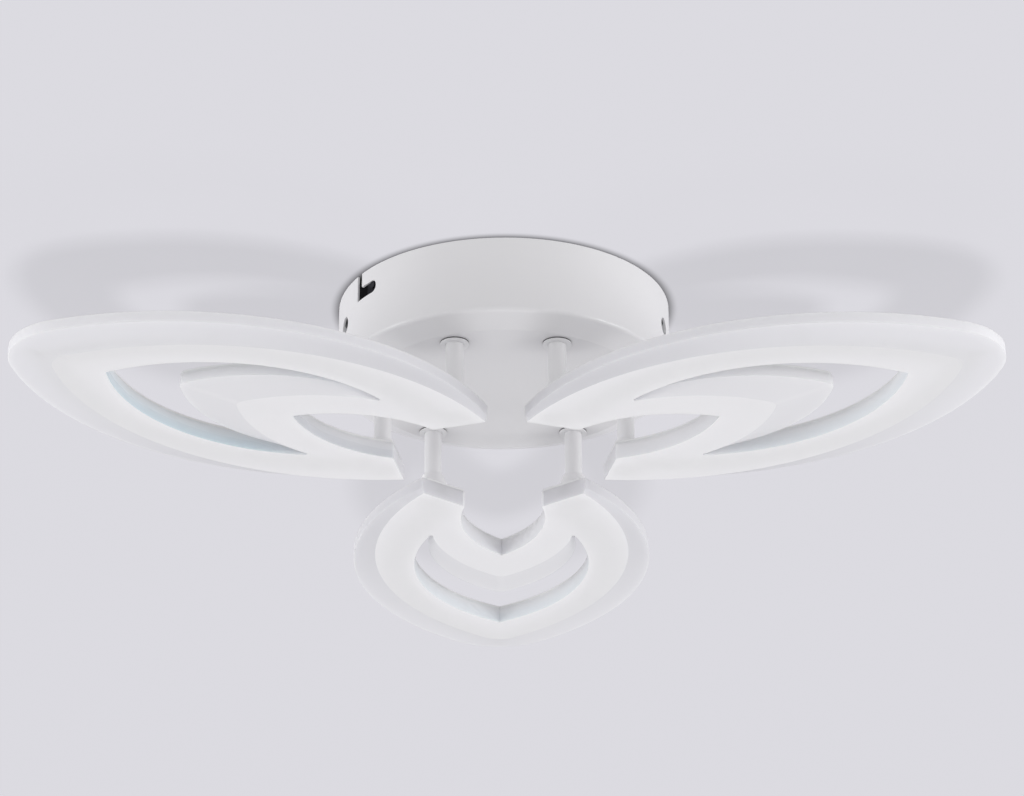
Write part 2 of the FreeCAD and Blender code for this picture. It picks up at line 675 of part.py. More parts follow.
def ceiling_bracket():
    half_width = BRACKET_WIDTH / 2
    strip = box(-EAR_OUTER_RADIUS, EAR_OUTER_RADIUS, -half_width, half_width, -BRACKET_THICKNESS, 0)
    solids = []
    for end in (0, 180):
        ear = box(EAR_INNER_RADIUS, EAR_OUTER_RADIUS, -half_width, half_width, -BRACKET_EAR_HEIGHT, 0)
        solids.append(turned(ear, end))
    body = strip.fuse(solids).removeSplitter()
    cuts = [rod(0, 0, -BRACKET_THICKNESS, 0, BRACKET_WIRE_HOLE)]
    half_slot = BRACKET_SLOT_LENGTH / 2
    straight = half_slot - BRACKET_SLOT_WIDTH / 2
    half_slot_width = BRACKET_SLOT_WIDTH / 2
    for end in (1, -1):
        bolt = end * BRACKET_BOLT_CIRCLE / 2
        cuts.append(rod(bolt, 0, -BRACKET_THICKNESS, 0, BRACKET_BOLT_HOLE))
        centre = end * BRACKET_SLOT_SPACING / 2
        left = centre - straight
        right = centre + straight
        cuts.append(box(left, right, -half_slot_width, half_slot_width, -BRACKET_THICKNESS, 0))
        for place in (left, right):
            cuts.append(rod(place, 0, -BRACKET_THICKNESS, 0, BRACKET_SLOT_WIDTH))
    stud_hole = STUD_DIAMETER + 2 * SCREW_CLEARANCE
    for end in (0, 180):
        cuts.append(turned(radial_rod(EAR_INNER_RADIUS, EAR_OUTER_RADIUS, STUD_Z, stud_hole), end))
    return turned(body.cut(cuts), BAYONET_ANGLE)


def bracket_studs():
    shank = radial_rod(EAR_INNER_RADIUS, CANOPY_RADIUS - STUD_RECESS, STUD_Z, STUD_DIAMETER)
    head = radial_rod(EAR_INNER_RADIUS - STUD_HEAD_HEIGHT, EAR_INNER_RADIUS, STUD_Z, STUD_HEAD_DIAMETER)
    stud = shank.fuse(head).removeSplitter()
    return [turned(stud, BAYONET_ANGLE + half_turn) for half_turn in (0, 180)]


def bracket_locknuts():
    nut = hexagon(0, 0, 0, LOCKNUT_HEIGHT, LOCKNUT_ACROSS_FLATS)
    nut = nut.cut(rod(0, 0, 0, LOCKNUT_HEIGHT, STUD_DIAMETER + 2 * SCREW_CLEARANCE))
    nut.rotate(ORIGIN, vector(0, 1, 0), 90)
    nut = moved(nut, EAR_OUTER_RADIUS, 0, STUD_Z)
    return [turned(nut, BAYONET_ANGLE + half_turn) for half_turn in (0, 180)]


# Driver, terminals and wires

def driver_stud_places():
    """One tab on each long side, towards opposite ends."""
    reach = (DRIVER_WIDTH + DRIVER_TAB_LENGTH) / 2
    return [
        (DRIVER_TAB_OFFSET, DRIVER_PLACE_Y - reach),
        (-DRIVER_TAB_OFFSET, DRIVER_PLACE_Y + reach),
    ]


def driver_base():
    half = DRIVER_LENGTH / 2
    y0 = DRIVER_PLACE_Y - DRIVER_WIDTH / 2
    y1 = DRIVER_PLACE_Y + DRIVER_WIDTH / 2
    tray = box(-half, half, y0, y1, FLOOR_Z, FLOOR_Z + DRIVER_BASE_HEIGHT)
    uprights = [edge for edge in tray.Edges if abs(edge.tangentAt(edge.FirstParameter).z) > 0.9]
    tray = tray.makeFillet(DRIVER_ROUND, uprights)
    inner = box(
        DRIVER_WALL - half,
        half - DRIVER_WALL,
        y0 + DRIVER_WALL,
        y1 - DRIVER_WALL,
        FLOOR_Z + DRIVER_WALL,
        FLOOR_Z + DRIVER_BASE_HEIGHT,
    )
    tray = tray.cut(inner)
    top = FLOOR_Z + DRIVER_TAB_THICKNESS
    half_long = DRIVER_TAB_LENGTH / 2
    half_wide = DRIVER_TAB_WIDTH / 2
    tabs = []
    holes = []
    hole = DRIVER_STUD_DIAMETER + 2 * SCREW_CLEARANCE
    for x, y in driver_stud_places():
        y0 = y - half_long if y < DRIVER_PLACE_Y else y - half_long - DRIVER_WALL
        y1 = y0 + DRIVER_TAB_LENGTH + DRIVER_WALL
        tabs.append(box(x - half_wide, x + half_wide, y0, y1, FLOOR_Z, top))
        holes.append(rod(x, y, FLOOR_Z, top, hole))
    return tray.fuse(tabs).removeSplitter().cut(holes)


def driver_cover():
    half = DRIVER_LENGTH / 2
    y0 = DRIVER_PLACE_Y - DRIVER_WIDTH / 2
    y1 = DRIVER_PLACE_Y + DRIVER_WIDTH / 2
    z0 = FLOOR_Z + DRIVER_BASE_HEIGHT
    z1 = z0 + DRIVER_COVER_HEIGHT
    lid = box(-half, half, y0, y1, z0, z1)
    kept = []
    for edge in lid.Edges:
        if edge.CenterOfMass.z > z0 + 0.01:
            kept.append(edge)
    lid = lid.makeFillet(DRIVER_ROUND, kept)
    wall = DRIVER_WALL
    return lid.cut(box(wall - half, half - wall, y0 + wall, y1 - wall, z0, z1 - wall))


def stud_nut(x, y, seat, diameter, across_flats, height):
    nut = hexagon(x, y, seat, height, across_flats)
    return nut.cut(rod(x, y, seat, seat + height, diameter + 2 * SCREW_CLEARANCE))


def driver_nuts():
    seat = FLOOR_Z + DRIVER_TAB_THICKNESS
    size = (DRIVER_STUD_DIAMETER, DRIVER_NUT_ACROSS_FLATS, DRIVER_NUT_HEIGHT)
    return [stud_nut(x, y, seat, *size) for x, y in driver_stud_places()]


def block_screw_places():
    pitch = BLOCK_LENGTH / BLOCK_POLES
    places = []
    for pole in range(BLOCK_POLES):
        y = BLOCK_PLACE[1] + (pole - (BLOCK_POLES - 1) / 2) * pitch
        for side in (1, -1):
            places.append((BLOCK_PLACE[0] + side * BLOCK_WIDTH / 4, y))
    return places


def terminal_block():
    half_width = BLOCK_WIDTH / 2
    half_length = BLOCK_LENGTH / 2
    top = FLOOR_Z + BLOCK_HEIGHT
    x, y = BLOCK_PLACE
    body = box(x - half_width, x + half_width, y - half_length, y + half_length, FLOOR_Z, top)
    hole = BLOCK_SCREW_DIAMETER + 2 * SCREW_CLEARANCE
    cuts = [rod(a, b, top - BLOCK_SCREW_DEPTH, top, hole) for a, b in block_screw_places()]
    pitch = BLOCK_LENGTH / BLOCK_POLES
    groove = pitch / 8
    for pole in range(1, BLOCK_POLES):
        middle = y - half_length + pole * pitch
        floor = top - BLOCK_SCREW_DEPTH
        cuts.append(box(x - half_width, x + half_width, middle - groove, middle + groove, floor, top))
    return body.cut(cuts)


def terminal_screws():
    top = FLOOR_Z + BLOCK_HEIGHT
    return [
        rod(x, y, top - BLOCK_SCREW_DEPTH, top - BLOCK_SCREW_DEPTH / 3, BLOCK_SCREW_DIAMETER)
        for x, y in block_screw_places()
    ]


def earth_nut():
    seat = FLOOR_Z + EARTH_TAG_THICKNESS
    x, y = EARTH_PLACE
    return stud_nut(x, y, seat, EARTH_STUD_DIAMETER, EARTH_NUT_ACROSS_FLATS, EARTH_NUT_HEIGHT)


def earth_barrel_z():
    return FLOOR_Z + EARTH_BARREL_DIAMETER / 2


def earth_tag():
    x, y = EARTH_PLACE
    ring = rod(x, y, FLOOR_Z, FLOOR_Z + EARTH_TAG_THICKNESS, EARTH_TAG_DIAMETER)
    start = vector(x - EARTH_TAG_DIAMETER / 2 - EARTH_BARREL_LENGTH, y, earth_barrel_z())
    length = EARTH_BARREL_LENGTH + EARTH_BARREL_DIAMETER / 4
    barrel = Part.makeCylinder(EARTH_BARREL_DIAMETER / 2, length, start, vector(1, 0, 0))
    tag = ring.fuse(barrel).removeSplitter()
    hole = EARTH_STUD_DIAMETER + 2 * SCREW_CLEARANCE
    return tag.cut(rod(x, y, FLOOR_Z, FLOOR_Z + EARTH_TAG_THICKNESS, hole))


def routed_wire(points):
    """A round wire along straight runs that are joined by tangent arcs."""
    edges = []
    here = points[0]
    for before, corner, after in zip(points, points[1:], points[2:]):
        back = (before - corner).normalize()
        ahead = (after - corner).normalize()
        turn = math.pi - back.getAngle(ahead)
        shorter = min(before.distanceToPoint(corner), after.distanceToPoint(corner))
        trim = WIRE_BEND_SHARE * shorter
        radius = trim / math.tan(turn / 2)
        start = corner + back * trim
        end = corner + ahead * trim
        inward = (back + ahead).normalize()
        middle = corner + inward * (radius / math.cos(turn / 2) - radius)
        edges.append(Part.LineSegment(here, start).toShape())
        edges.append(Part.Arc(start, middle, end).toShape())
        print("bend radius", round(radius, 2))
        here = end
    edges.append(Part.LineSegment(here, points[-1]).toShape())
    path = Part.Wire(edges)
    ahead = (points[1] - points[0]).normalize()
    circle = Part.Circle(points[0], ahead, WIRE_DIAMETER / 2).toShape()
    tube = path.makePipeShell([Part.Wire(circle)], True, False)
    share = tube.Volume / (path.Length * math.pi * WIRE_DIAMETER ** 2 / 4)
    print("wire length", round(path.Length, 1), "volume share", round(share, 4))
    return tube


def mains_wires():
    """Live and neutral, one above the other, from the block's back to the driver's end."""
    start_y = BLOCK_PLACE[1] + BLOCK_LENGTH / 2
    wires = []
    for pole in (1, 2):
        z = FLOOR_Z + pole * BLOCK_HEIGHT / BLOCK_POLES
        x = BLOCK_PLACE[0] + BLOCK_WIDTH / 6
        route = [(x, start_y, z), (x, MAINS_ELBOW_Y, z), (-DRIVER_LENGTH / 2, MAINS_ELBOW_Y, z)]
        wires.append(routed_wire([vector(*point) for point in route]))
    return wires


def earth_lead():
    end_x = EARTH_PLACE[0] - EARTH_TAG_DIAMETER / 2 - EARTH_BARREL_LENGTH
    x = BLOCK_PLACE[0] + BLOCK_WIDTH / 4
    z = earth_barrel_z()
    start_y = BLOCK_PLACE[1] - BLOCK_LENGTH / 2
    route = [(x, start_y, z), (x, EARTH_PLACE[1], z), (end_x, EARTH_PLACE[1], z)]
    return routed_wire([vector(*point) for point in route])


# Bend points of the leads inside the canopy, from the driver's end to the post's top
LEAD_ROUTES = {
    "right": [(64, -24, -28)],
    "far": [(66, -8, -28), (60, 24, -12)],
    "left": [(62, 6, -28), (64, 22, -22), (40, 31, -20), (0, 34, -19), (-40, 28, -19)],
}
LEAD_CREST = {"right": -16.0, "far": -11.0, "left": -15.0}


def petal_lead(petal):
    """From the driver's end, over the post's top, down its bore and into the connector."""
    side = FEED_SIDE[petal]
    x, y = post_place(petal, side)
    first = LEAD_ROUTES[petal][0]
    points = [vector(DRIVER_LENGTH / 2, first[1], first[2])]
    points += [vector(*point) for point in LEAD_ROUTES[petal]]
    points.append(vector(x, y, LEAD_CREST[petal]))
    points.append(vector(x, y, LEAD_Z))
    angle = math.radians(PETALS[petal] + side * LEAD_TURN)
    run = math.hypot(*LEAD_RUN)
    points.append(vector(x + run * math.cos(angle), y + run * math.sin(angle), LEAD_Z))
    return routed_wire(points)


def petal_set(petal):
    """Each petal's pieces, made along +X and turned to the petal's own direction."""
    angle = PETALS[petal]
    name = "petal_" + petal
    save(name + "_plate", turned(back_plate(), angle))
    save(name + "_lens", turned(lens(), angle))
    board = horseshoe(BOARD_WIDTH, BOARD_START, BOARD_BOTTOM, PLATE_BOTTOM)
    save(name + "_led_board", turned(board, angle))
    save(name + "_led_chips", [turned(chip, angle) for chip in led_chips()])
    save(name + "_connector", turned(connector(FEED_SIDE[petal]), angle))
    save(name + "_screws", [turned(plate_screw(u, v), angle) for u, v in screw_places()])
    save(name + "_lead", petal_lead(petal))


def post_set():
    washers = []
    nuts = []
    screws = []
    for (petal, side), name in POST_NAMES.items():
        angle = PETALS[petal]
        save("post_" + name, turned(post(side), angle))
        save("collar_" + name, turned(collar(side), angle))
        save("foot_" + name, turned(foot(side), angle))
        washers.append(turned(post_washer(side), angle))
        nuts.append(turned(post_nut(side), angle))
        screws += [turned(foot_screw(u, v), angle) for u, v in foot_screw_places(side)]
    save("post_washers", washers)
    save("post_nuts", nuts)
    save("foot_screws", screws)


def main():
    os.makedirs("parts", exist_ok=True)
    save("ceiling_bracket", ceiling_bracket())
    save("bracket_studs", bracket_studs())
    save("bracket_locknuts", bracket_locknuts())
    save("canopy", canopy())
    save("driver_base", driver_base())
    save("driver_cover", driver_cover())
    save("driver_nuts", driver_nuts())
    save("terminal_block", terminal_block())
    save("terminal_screws", terminal_screws())
    save("mains_wires", mains_wires())
    save("earth_nut", earth_nut())
    save("earth_tag", earth_tag())
    save("earth_lead", earth_lead())
    post_set()
    for petal in PETALS:
        petal_set(petal)


main()
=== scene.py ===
"""A flush ceiling light: a round canopy on six posts carries three leaf-shaped light plates."""

import math

import bmesh
import bpy
from bpy.props import FloatProperty, FloatVectorProperty, PointerProperty
from mathutils import Matrix, Vector


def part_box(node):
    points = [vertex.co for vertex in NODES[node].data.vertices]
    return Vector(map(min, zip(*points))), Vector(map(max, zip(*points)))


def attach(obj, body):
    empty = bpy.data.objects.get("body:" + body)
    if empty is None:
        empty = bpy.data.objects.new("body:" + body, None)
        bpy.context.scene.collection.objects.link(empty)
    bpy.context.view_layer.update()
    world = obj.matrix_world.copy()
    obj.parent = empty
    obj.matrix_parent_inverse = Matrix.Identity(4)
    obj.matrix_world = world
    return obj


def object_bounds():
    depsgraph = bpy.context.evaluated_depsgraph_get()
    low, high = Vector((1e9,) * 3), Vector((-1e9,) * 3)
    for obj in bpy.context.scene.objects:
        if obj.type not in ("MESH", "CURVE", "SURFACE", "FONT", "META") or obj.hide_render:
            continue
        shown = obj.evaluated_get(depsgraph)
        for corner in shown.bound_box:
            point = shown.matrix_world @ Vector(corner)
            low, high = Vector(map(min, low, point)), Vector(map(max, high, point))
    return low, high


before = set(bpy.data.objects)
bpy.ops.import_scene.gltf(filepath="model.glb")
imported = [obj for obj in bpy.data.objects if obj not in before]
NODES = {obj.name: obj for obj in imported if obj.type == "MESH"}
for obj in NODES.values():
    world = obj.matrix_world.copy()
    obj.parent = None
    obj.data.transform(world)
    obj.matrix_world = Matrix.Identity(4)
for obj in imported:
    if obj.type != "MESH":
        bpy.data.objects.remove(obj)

bl_info = {
    "name": "Petal Ceiling Light",
    "version": (1, 0, 0),
    "blender": (4, 5, 0),
    "location": "3D View > Sidebar > Ceiling Light",
    "description": "Dresses the parts of a three-petal ceiling light and sets its stage",
    "category": "Object",
}

CAD_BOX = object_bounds()
MM = 0.001

# Where each petal points, as an angle round the lamp's axis
PETAL_ANGLES = {"far": 90.0, "left": 210.0, "right": 330.0}

# The lamp's own edges, read from its parts
CANOPY_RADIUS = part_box("canopy")[1].x
LENS_LOW, LENS_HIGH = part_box("petal_far_lens")

# Crescent and notch of a petal: the centre and radius of the arc that bounds each, along and across it
CRESCENT_ARC = (150.4 * MM, -61.96 * MM, 114.76 * MM)
NOTCH_ARC = (78.0 * MM, -53.42 * MM, 78.12 * MM)
WALL_MARGIN = 1.2 * MM

# Share of a cooler tone on the walls of each petal's cut-outs, partly the acrylic's own tint and partly
# painted shade that differs from petal to petal, and where it fades in from the crescent's horns, which
# paints them lighter
CUT_SHADE_SHARES = {"far": 0.45, "left": 1.0, "right": 0.45}
CUT_SHADE_HORN_FADE = (85 * MM, 140 * MM)

# Where the painted shade on a petal's rim starts to lighten towards the tip, as painted light, and where it
# ends, and the leaf's share of that painted shade
RIM_SHADE_EASE = (70 * MM, 270 * MM)
LEAF_RIM_SHADE_SHARE = 0.5

# Painted shade at the top of a collar: a dark seam for the gap there and its contact shadow
SEAM_SHADE_DEPTH = 0.7 * MM

# How far a face looks up or outward: at the first share it doesn't count yet, at the second it does in full
STEEP_FACE = (0.5, 0.2)
LEVEL_FACE = (0.993, 0.998)
INWARD_FACE = (-0.2, -0.5)
UPWARD_FACE = (0.2, 0.5)

# A face that looks up by less than this counts as facing down
DOWNWARD_FACE = -0.5

# Noise and rounded edges of all finishes
NOISE_ROUGHNESS = 0.55
NOISE_DETAIL = 2.0
SMOOTH_DETAIL = 1.0
RICH_DETAIL = 3.0
ROUND_SAMPLES = 6

# Colour sockets of a Mix node, by number
MIX_FIRST = 6
MIX_SECOND = 7
MIX_RESULT = 2

# Texture of the enamel
CLOUD_SIZE = 70 * MM
PATCH_SIZE = 12 * MM
PEEL_HEIGHT = 0.015 * MM
PEEL_STRENGTH = 0.5
ENAMEL_ROUND = 0.4 * MM
ENAMEL_PATCHES = 0.02
ENAMEL_THIN = 0.96
ENAMEL_COAT = 0.15
ENAMEL_COAT_ROUGHNESS = 0.3
OVERSPRAY_SIZE = 30 * MM
PRIMER_LEAST = 0.4
PRIMER_ROUGHNESS = 0.3

# Texture of the acrylic
MILK_SIZE = 40 * MM
SATIN_SIZE = 0.9 * MM
SATIN_HEIGHT = 0.02 * MM
SATIN_STRENGTH = 0.4
ACRYLIC_PATCHES = 0.03
ACRYLIC_SPECULAR = 0.45
ACRYLIC_DEPTH = 7 * MM
ACRYLIC_SPREAD = (1.0, 1.0, 1.0)
ACRYLIC_SCATTER = 0.6
# Least share of the painted shade on the cut walls, at their top; it grows to the full share at their
# bottom
CUT_SHADE_LEAST = 0.4
CUT_POLISH = 0.15

# Texture of the plate paint
GRAIN_SIZE = 0.8 * MM
GRAIN_HEIGHT = 0.04 * MM
GRAIN_STRENGTH = 0.5
PLATE_THIN = 0.95
PLATE_PATCHES = 0.1

# Texture of the plated metal
SPANGLE_SIZE = 4 * MM
SPANGLE_DARK = 0.86
SPANGLE_LIGHT = 1.06
SPANGLE_PATCHES = 0.14
RUB_SIZE = 6 * MM
RUB_STRETCH = (1.0, 12.0, 1.0)
RUB_HEIGHT = 0.015 * MM
RUB_STRENGTH = 0.4
RUB_PATCHES = 0.12
METAL_ROUND = 0.25 * MM
ZINC_ROUGHNESS = 0.24
BLACK_ROUGHNESS = 0.34
BRASS_ROUGHNESS = 0.2

# Texture of the mouldings
FLOW_SIZE = 25 * MM
FLOW_THIN = 0.93
MOULD_SIZE = 0.6 * MM
TEXTURE_HEIGHT = 0.04 * MM
TEXTURE_STRENGTH = 0.6
TEXTURE_PATCHES = 0.12
PLASTIC_ROUND = 0.5 * MM
DRIVER_ROUGHNESS = 0.42
TERMINAL_ROUGHNESS = 0.34
BOARD_ROUGHNESS = 0.3
CONNECTOR_ROUGHNESS = 0.36

# Texture of the light chips
CHIP_ROUGHNESS = 0.3
CHIP_PATCHES = 0.2
CHIP_SHADE = 0.85

# Texture of the wire sheaths, and the height of the earth wire's stripe as a share of its own
SHEATH_SIZE = 2.5 * MM
SHEATH_HEIGHT = 0.03 * MM
SHEATH_STRENGTH = 0.5
SHEATH_SHADE = 0.88
SHEATH_ROUGHNESS = 0.38
SHEATH_PATCHES = 0.15
EARTH_STRIPE = 0.62

# Zinc-plated, blackened and brass parts
PLATED_PARTS = ["driver_nuts", "earth_nut", "foot_screws", "post_nuts", "post_washers"]
# Their black is partly painted shade for the dark inside of the canopy, seen through its slot
BLACK_PARTS = ["bracket_locknuts", "bracket_studs", "ceiling_bracket"]
BRASS_PARTS = ["earth_tag", "terminal_screws"]

# Where the wires leave the driver's ends: across it and below the ceiling
LEAD_EXITS = [(-24 * MM, -28 * MM), (-8 * MM, -28 * MM), (6 * MM, -28 * MM)]
MAINS_EXITS = [(-7 * MM, -43.6 * MM), (-7 * MM, -39.0 * MM)]

# Sizes of a wire bush
BUSH_BORE = 1.2 * MM
BUSH_NECK = 1.9 * MM
BUSH_END = 1.6 * MM
BUSH_FLANGE = 2.2 * MM
BUSH_FLANGE_DEPTH = 0.8 * MM
BUSH_LENGTH = 3.0 * MM
BUSH_ROUND = 0.12 * MM
BUSH_CREASE = math.radians(40)
BUSH_SIDES = 24
MERGE_DISTANCE = 0.001 * MM

# The ceiling, and how far inside and outside the canopy's edge the painted shade over the canopy fades out,
# which paints a contact shadow round its rim
CEILING_GAP = 0.3 * MM
PAINTED_CONTACT_SHADE = (0.008, 0.008, 0.009)
CONTACT_INSIDE = 4 * MM
CONTACT_OUTSIDE = 6 * MM

# Which way each studio lamp stands from the light, and the sides of the lamps
STUDIO_WAYS = {
    "right": (0.9, -0.3, -0.15),
    "left": (-0.9, -0.2, -0.15),
    "front": (0.1, 0, -1),
    "top": (-0.5, 0.5, 0.8),
}
SHADOW_WAY = (0, -0.7, -0.7)
LAMP_SIDE = 1.2
SHADOW_LAMP_SIDE = 0.4
WHITE = (1.0, 1.0, 1.0)
SENSOR_WIDTH = 36.0


def colour(name, description, default):
    """A colour that the sidebar shows."""
    return FloatVectorProperty(
        name=name, description=description, subtype="COLOR", size=3, min=0, max=1, default=default
    )


def length(name, description, default):
    """A length that the sidebar shows."""
    return FloatProperty(
        name=name, description=description, unit="LENGTH", min=0, precision=5, default=default
    )


def level(name, description, default, highest=1.0):
    """A plain number that the sidebar shows."""
    return FloatProperty(name=name, description=description, min=0, max=highest, default=default)


def power(name, description, default):
    """The power of a studio lamp, which the sidebar shows."""
    return FloatProperty(name=name, description=description, unit="POWER", min=0, default=default)


def angle(name, description, degrees):
    """An angle that the sidebar shows."""
    return FloatProperty(
        name=name, description=description, subtype="ANGLE", default=math.radians(degrees)
    )


class LampFinishes(bpy.types.PropertyGroup):
    """The colours and gloss of the lamp's own surfaces."""

    canopy: colour("Canopy enamel", "White enamel on the canopy", (0.78, 0.772, 0.792))
    posts: colour("Post enamel", "White enamel on the posts, collars and feet", (0.82, 0.815, 0.83))
    # The collar seam is painted shade: a dark line for the gap and its contact shadow
    seam: colour("Collar seam", "Gap between a collar and the canopy", (0.1, 0.1, 0.105))
    # The primer's grey is partly painted shade, for the dark inside of the closed canopy
    primer: colour("Primer", "Grey primer that shows inside the canopy", (0.46, 0.47, 0.49))
    enamel_gloss: level("Enamel roughness", "Roughness of the enamel", 0.32)
    peel_size: length("Peel size", "Size of the enamel's orange peel", 3.0 * MM)
    acrylic: colour("Acrylic", "Face of the opal acrylic plates", (0.88, 0.873, 0.895))
    acrylic_cloud: colour("Acrylic cloud", "Milky clouds in the acrylic", (0.86, 0.853, 0.88))
    # The rim colours are painted shade on the sloping rim and outer walls, lighter at the tips as painted
    # light
    acrylic_rim_shade: colour("Acrylic rim", "Rim of the acrylic plates by their arms", (0.66, 0.656, 0.688))
    acrylic_tip_shade: colour("Acrylic tip", "Rim of the acrylic plates at their tips", (0.81, 0.805, 0.84))
    # The cut walls' cooler colours are partly the acrylic's own tint and partly painted shade
    acrylic_cut_tint_and_shade: colour("Acrylic cut", "Polished wall round the crescent openings", (0.58, 0.665, 0.72))
    acrylic_notch_tint_and_shade: colour("Acrylic notch", "Polished wall of the notches", (0.62, 0.635, 0.67))
    acrylic_gloss: level("Acrylic roughness", "Roughness of the acrylic's faces", 0.36)
    acrylic_round: length("Acrylic edge", "Round on the acrylic's edges", 0.5 * MM)
    plate: colour("Plate paint", "Satin paint on the back plates", (0.8, 0.8, 0.81))
    plate_gloss: level("Plate roughness", "Roughness of the back plates", 0.48)
    zinc: colour("Zinc", "Zinc plating on the nuts and screws", (0.62, 0.63, 0.65))
    # The black on the bracket and studs is partly painted shade for the dark inside of the canopy
    black: colour("Black oxide", "Black oxide on the bracket and its studs", (0.025, 0.025, 0.03))
    brass: colour("Brass", "Brass of the terminal screws and earth tag", (0.72, 0.55, 0.26))
    driver: colour("Driver", "Moulded case of the driver", (0.76, 0.76, 0.75))
    terminal: colour("Terminal", "Moulded terminal block", (0.74, 0.73, 0.68))
    connector: colour("Connector", "Board connectors", (0.8, 0.79, 0.74))
    board: colour("Board", "White solder mask of the light boards", (0.83, 0.83, 0.81))
    phosphor: colour("Phosphor", "Yellow phosphor of the light chips", (0.85, 0.68, 0.18))
    lead: colour("Lead", "Sheath of the petal leads", (0.77, 0.77, 0.77))
    live: colour("Live wire", "Brown insulation", (0.16, 0.06, 0.025))
    neutral: colour("Neutral wire", "Blue insulation", (0.03, 0.12, 0.42))
    earth_green: colour("Earth green", "Green of the earth wire", (0.05, 0.25, 0.04))
    earth_yellow: colour("Earth yellow", "Yellow of the earth wire", (0.75, 0.62, 0.03))


class LampStage(bpy.types.PropertyGroup):
    """The ceiling, the light and the camera."""

    ceiling: colour("Ceiling", "Pale ceiling behind the lamp", (0.708, 0.701, 0.745))
    ceiling_glow: level("Ceiling glow", "Brightness of the ceiling where no shadow falls", 0.955)
    ceiling_paint: level("Ceiling paint", "Reflectance of the ceiling's paint", 0.06)
    ceiling_shade: level("Ceiling shade", "Share of the ceiling's brightness that a shadow takes", 0.129)
    ceiling_side: length("Ceiling side", "Side of the square of ceiling", 6.0)
    ambient: level("Ambient", "Light from all round", 0.68, 4.0)
    right_power: power("Right lamp", "Soft lamp on the right", 34.0)
    left_power: power("Left lamp", "Soft lamp on the left", 29.0)
    front_power: power("Front lamp", "Weak lamp from below", 12.0)
    top_power: power("Top lamp", "Weak lamp over the ceiling", 8.0)
    lamp_distance: length("Lamp distance", "From the lamp's axis to the studio lamps", 3.0)
    camera_back: length("Camera back", "From the lamp's axis back to the camera", 1.7718)
    camera_drop: length("Camera drop", "From the ceiling down to the camera", 0.8703)
    camera_pitch: angle("Camera pitch", "Upward tilt of the camera", 24.74)
    camera_turn: angle("Camera turn", "Camera's turn about the lamp's axis", -0.868)
    camera_roll: angle("Camera roll", "Camera's turn about its line of sight", -0.3)
    camera_lens: FloatProperty(name="Camera lens", description="Focal length", unit="CAMERA", default=120.1)
    camera_shift: level("Camera shift", "Sideways shift of the picture", 0.0075)


class Signal:
    """A socket of a material's nodes. Sums on it add Math nodes."""

    def __init__(self, finish, socket):
        self.finish = finish
        self.socket = socket

    def math(self, operation, first, second=0.0):
        """A Math node on one or two values."""
        return self.finish.node("ShaderNodeMath", {"operation": operation}, {0: first, 1: second})

    def __add__(self, other):
        return self.math("ADD", self, other)

    def __sub__(self, other):
        return self.math("SUBTRACT", self, other)

    def __mul__(self, other):
        return self.math("MULTIPLY", self, other)

    def __truediv__(self, other):
        return self.math("DIVIDE", self, other)

    def __gt__(self, other):
        return self.math("GREATER_THAN", self, other)

    def __lt__(self, other):
        return self.math("LESS_THAN", self, other)

    def __rsub__(self, other):
        return self.math("SUBTRACT", other, self)

    def __abs__(self):
        return self.math("ABSOLUTE", self)

    __radd__ = __add__
    __rmul__ = __mul__

    def root(self):
        """The square root."""
        return self.math("SQRT", self)

    def step(self, start, end):
        """A smooth rise from 0 at start to 1 at end."""
        settings = {"interpolation_type": "SMOOTHSTEP"}
        return self.finish.node("ShaderNodeMapRange", settings, {"Value": self, 1: start, 2: end})


